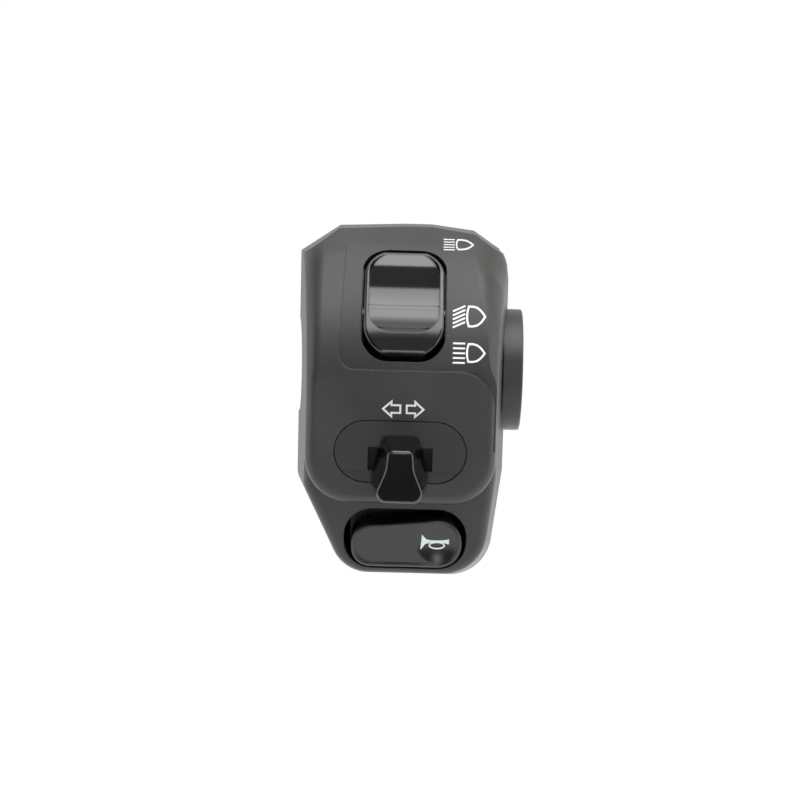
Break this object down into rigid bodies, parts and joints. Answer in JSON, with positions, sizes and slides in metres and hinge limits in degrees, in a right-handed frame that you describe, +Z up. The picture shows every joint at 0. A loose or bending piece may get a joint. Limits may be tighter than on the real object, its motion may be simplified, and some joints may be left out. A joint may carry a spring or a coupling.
{
  "type": "handlebar switch cluster",
  "caption": "Left handlebar switch housing in two clamping halves with a three-position dimmer rocker, a sliding turn signal lever and a hinged horn button.",
  "frame": {"origin": "centre of the handlebar bore, on the bar's axis, half way along the housing without its collar", "axes": "+X along the bar towards the collar and the middle of the motorcycle, +Y away from the rider, +Z up"},
  "size_m": [0.0518, 0.063, 0.0835],
  "materials": {
    "shell_plastic": "fine moulded grain",
    "plate_plastic": "fine moulded grain",
    "gloss_black": "polished",
    "inner_plastic": "plain moulded",
    "zinc_steel": "zinc plated",
    "bright_steel": "polished",
    "spring_steel": "drawn wire",
    "brass": "turned",
    "copper": "pressed copper alloy",
    "terminal_board": "phenolic board",
    "grommet_rubber": "moulded rubber"
  },
  "bodies": {
    "housing": {"front_case": "shell_plastic", "rear_case": "shell_plastic", "case_screw_upper": "zinc_steel", "case_screw_lower": "zinc_steel", "thread_inserts": "brass", "cable_grommet": "grommet_rubber", "module_screws": "zinc_steel", "dimmer_pivot_pin": "zinc_steel", "dimmer_frame": "inner_plastic", "dimmer_terminal_board": "terminal_board", "dimmer_fixed_contacts": "copper", "turn_plate": "plate_plastic", "turn_guide_frame": "inner_plastic", "turn_terminal_board": "terminal_board", "turn_fixed_contacts": "copper", "horn_pivot_pin": "zinc_steel", "horn_base": "inner_plastic", "horn_return_spring": "spring_steel", "horn_fixed_contacts": "copper"},
    "dimmer": {"dimmer_rocker": "gloss_black", "dimmer_detent_ball": "bright_steel", "dimmer_detent_spring": "spring_steel"},
    "dimmer_slide": {"dimmer_contact_slider": "inner_plastic", "dimmer_contact_bridge": "copper"},
    "turn_slide": {"turn_carriage": "inner_plastic", "turn_shutter": "plate_plastic", "turn_detent_ball": "bright_steel", "turn_detent_spring": "spring_steel", "turn_cancel_spring": "spring_steel", "turn_contact_bridge": "copper"},
    "turn_paddle": {"turn_lever": "gloss_black"},
    "horn": {"horn_button": "gloss_black", "horn_contact_bridge": "copper"}
  },
  "joints": [
    {"name": "dimmer_tilt", "type": "hinge", "parent": "housing", "child": "dimmer", "pos_m": [0, -0.02045, 0.01533], "axis": [1, 0, 0], "range_deg": [-8, 8]},
    {"name": "dimmer_slider_travel", "type": "slide", "parent": "housing", "child": "dimmer_slide", "axis": [0, 0.6018, 0.7986], "range_m": [-0.00124, 0.00124]},
    {"name": "turn_signal_travel", "type": "slide", "parent": "housing", "child": "turn_slide", "axis": [1, 0, 0], "range_m": [-0.004, 0.004]},
    {"name": "turn_cancel_push", "type": "slide", "parent": "turn_slide", "child": "turn_paddle", "axis": [0, 1, 0], "range_m": [0, 0.0012], "stiffness_N_per_m": 600, "springref_m": -0.0006, "deforming": ["turn_cancel_spring"]},
    {"name": "horn_press", "type": "hinge", "parent": "housing", "child": "horn", "pos_m": [-0.00675, -0.02347, -0.03432], "axis": [0, -0.1167, 0.9932], "range_deg": [0, 5], "stiffness_Nm_per_rad": 0.25, "springref_deg": -4.58, "deforming": ["horn_return_spring"]}
  ],
  "couplings": [
    {"joint": "dimmer_tilt", "follows": "dimmer_slider_travel", "rad_per_m": 112.36}
  ]
}
